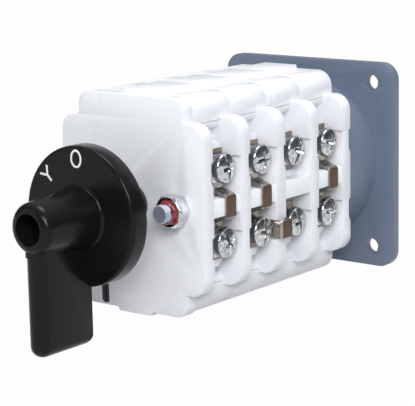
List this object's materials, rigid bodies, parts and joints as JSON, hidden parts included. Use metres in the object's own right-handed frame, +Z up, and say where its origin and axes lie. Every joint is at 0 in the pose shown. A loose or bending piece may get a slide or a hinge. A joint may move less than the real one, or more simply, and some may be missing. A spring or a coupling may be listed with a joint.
{
  "type": "rotary cam switch",
  "caption": "Panel-mounted rotary star-delta cam switch with a lever knob, stacked white contact chambers with screw terminals, linking straps and a square grey base plate.",
  "frame": {"origin": "centre of the base plate's back face, on the spindle's axis", "axes": "+Y runs back into the mounting panel along the spindle, away from the knob; +Z up; +X to the right seen from the knob"},
  "size_m": [0.06, 0.1233, 0.0632],
  "materials": {
    "grey_plastic": "satin moulded",
    "white_plastic": "satin thermoset",
    "black_plastic": "glossy moulded",
    "cream_plastic": "moulded",
    "dark_plastic": "moulded",
    "steel": "zinc-plated",
    "zinc_screw": "bright zinc",
    "zinc_washer": "zinc-plated",
    "nickel_strap": "nickel-plated",
    "brass": "rolled",
    "spring_steel": "drawn wire"
  },
  "bodies": {
    "housing": {"base_plate": "grey_plastic", "front_cover": "white_plastic", "chamber_1": "white_plastic", "chamber_2": "white_plastic", "chamber_3": "white_plastic", "chamber_4": "white_plastic", "index_spring_top": "spring_steel", "index_spring_bottom": "spring_steel", "spring_1_top": "spring_steel", "spring_1_bottom": "spring_steel", "spring_2_top": "spring_steel", "spring_2_bottom": "spring_steel", "spring_3_top": "spring_steel", "spring_3_bottom": "spring_steel", "springs_4": "spring_steel", "lifters_4": "dark_plastic", "bridges_4": "brass", "terminal_strips_1": "brass", "terminal_screws_1": "zinc_screw", "clamp_washers_1": "zinc_washer", "terminal_strips_2": "brass", "terminal_screws_2": "zinc_screw", "clamp_washers_2": "zinc_washer", "terminal_strips_3": "brass", "terminal_screws_3": "zinc_screw", "clamp_washers_3": "zinc_washer", "terminal_strips_4": "brass", "terminal_screws_4": "zinc_screw", "clamp_washers_4": "zinc_washer", "strap_1": "nickel_strap", "strap_2": "nickel_strap", "strap_4": "nickel_strap", "cross_strap": "nickel_strap", "tie_bolts": "steel", "tie_nuts": "zinc_screw"},
    "rotor": {"spindle": "steel", "knob": "black_plastic", "knob_screw": "zinc_screw", "lock_finger": "black_plastic", "index_wheel": "cream_plastic", "cam_1": "cream_plastic", "cam_2": "cream_plastic", "cam_3": "cream_plastic", "cam_4": "cream_plastic"},
    "contact_1_top": {"lifter_1_top": "dark_plastic", "bridge_1_top": "brass"},
    "contact_1_bottom": {"lifter_1_bottom": "dark_plastic", "bridge_1_bottom": "brass"},
    "contact_2_top": {"lifter_2_top": "dark_plastic", "bridge_2_top": "brass"},
    "contact_2_bottom": {"lifter_2_bottom": "dark_plastic", "bridge_2_bottom": "brass"},
    "contact_3_top": {"lifter_3_top": "dark_plastic", "bridge_3_top": "brass"},
    "contact_3_bottom": {"lifter_3_bottom": "dark_plastic", "bridge_3_bottom": "brass"},
    "plunger_top": {"index_plunger_top": "dark_plastic"},
    "plunger_bottom": {"index_plunger_bottom": "dark_plastic"}
  },
  "joints": [
    {"name": "spindle_turn", "type": "hinge", "parent": "housing", "child": "rotor", "pos_m": [0, -0.084, 0], "axis": [0, 1, 0], "range_deg": [0, 90]},
    {"name": "contact_1_top_slide", "type": "slide", "parent": "housing", "child": "contact_1_top", "axis": [0, 0, -1], "range_m": [0, 0.003], "deforming": ["spring_1_top"]},
    {"name": "contact_1_bottom_slide", "type": "slide", "parent": "housing", "child": "contact_1_bottom", "axis": [0, 0, 1], "range_m": [0, 0.003], "deforming": ["spring_1_bottom"]},
    {"name": "contact_2_top_slide", "type": "slide", "parent": "housing", "child": "contact_2_top", "axis": [0, 0, -1], "range_m": [0, 0.003], "deforming": ["spring_2_top"]},
    {"name": "contact_2_bottom_slide", "type": "slide", "parent": "housing", "child": "contact_2_bottom", "axis": [0, 0, 1], "range_m": [0, 0.003], "deforming": ["spring_2_bottom"]},
    {"name": "contact_3_top_slide", "type": "slide", "parent": "housing", "child": "contact_3_top", "axis": [0, 0, -1], "range_m": [0, 0.003], "deforming": ["spring_3_top"]},
    {"name": "contact_3_bottom_slide", "type": "slide", "parent": "housing", "child": "contact_3_bottom", "axis": [0, 0, 1], "range_m": [0, 0.003], "deforming": ["spring_3_bottom"]},
    {"name": "plunger_top_slide", "type": "slide", "parent": "housing", "child": "plunger_top", "axis": [0, 0, -1], "range_m": [0, 0.0013], "stiffness_N_per_m": 500, "deforming": ["index_spring_top"]},
    {"name": "plunger_bottom_slide", "type": "slide", "parent": "housing", "child": "plunger_bottom", "axis": [0, 0, 1], "range_m": [0, 0.0013], "stiffness_N_per_m": 500, "deforming": ["index_spring_bottom"]}
  ],
  "couplings": [
    {"joint": "contact_1_top_slide", "follows": "spindle_turn", "m_per_rad": 0.0019099},
    {"joint": "contact_1_bottom_slide", "follows": "spindle_turn", "m_per_rad": 0.0019099},
    {"joint": "contact_2_top_slide", "follows": "spindle_turn", "m_per_rad": 0.0019099},
    {"joint": "contact_2_bottom_slide", "follows": "spindle_turn", "m_per_rad": 0.0019099},
    {"joint": "contact_3_top_slide", "follows": "spindle_turn", "m_per_rad": 0.0019099},
    {"joint": "contact_3_bottom_slide", "follows": "spindle_turn", "m_per_rad": 0.0019099}
  ]
}
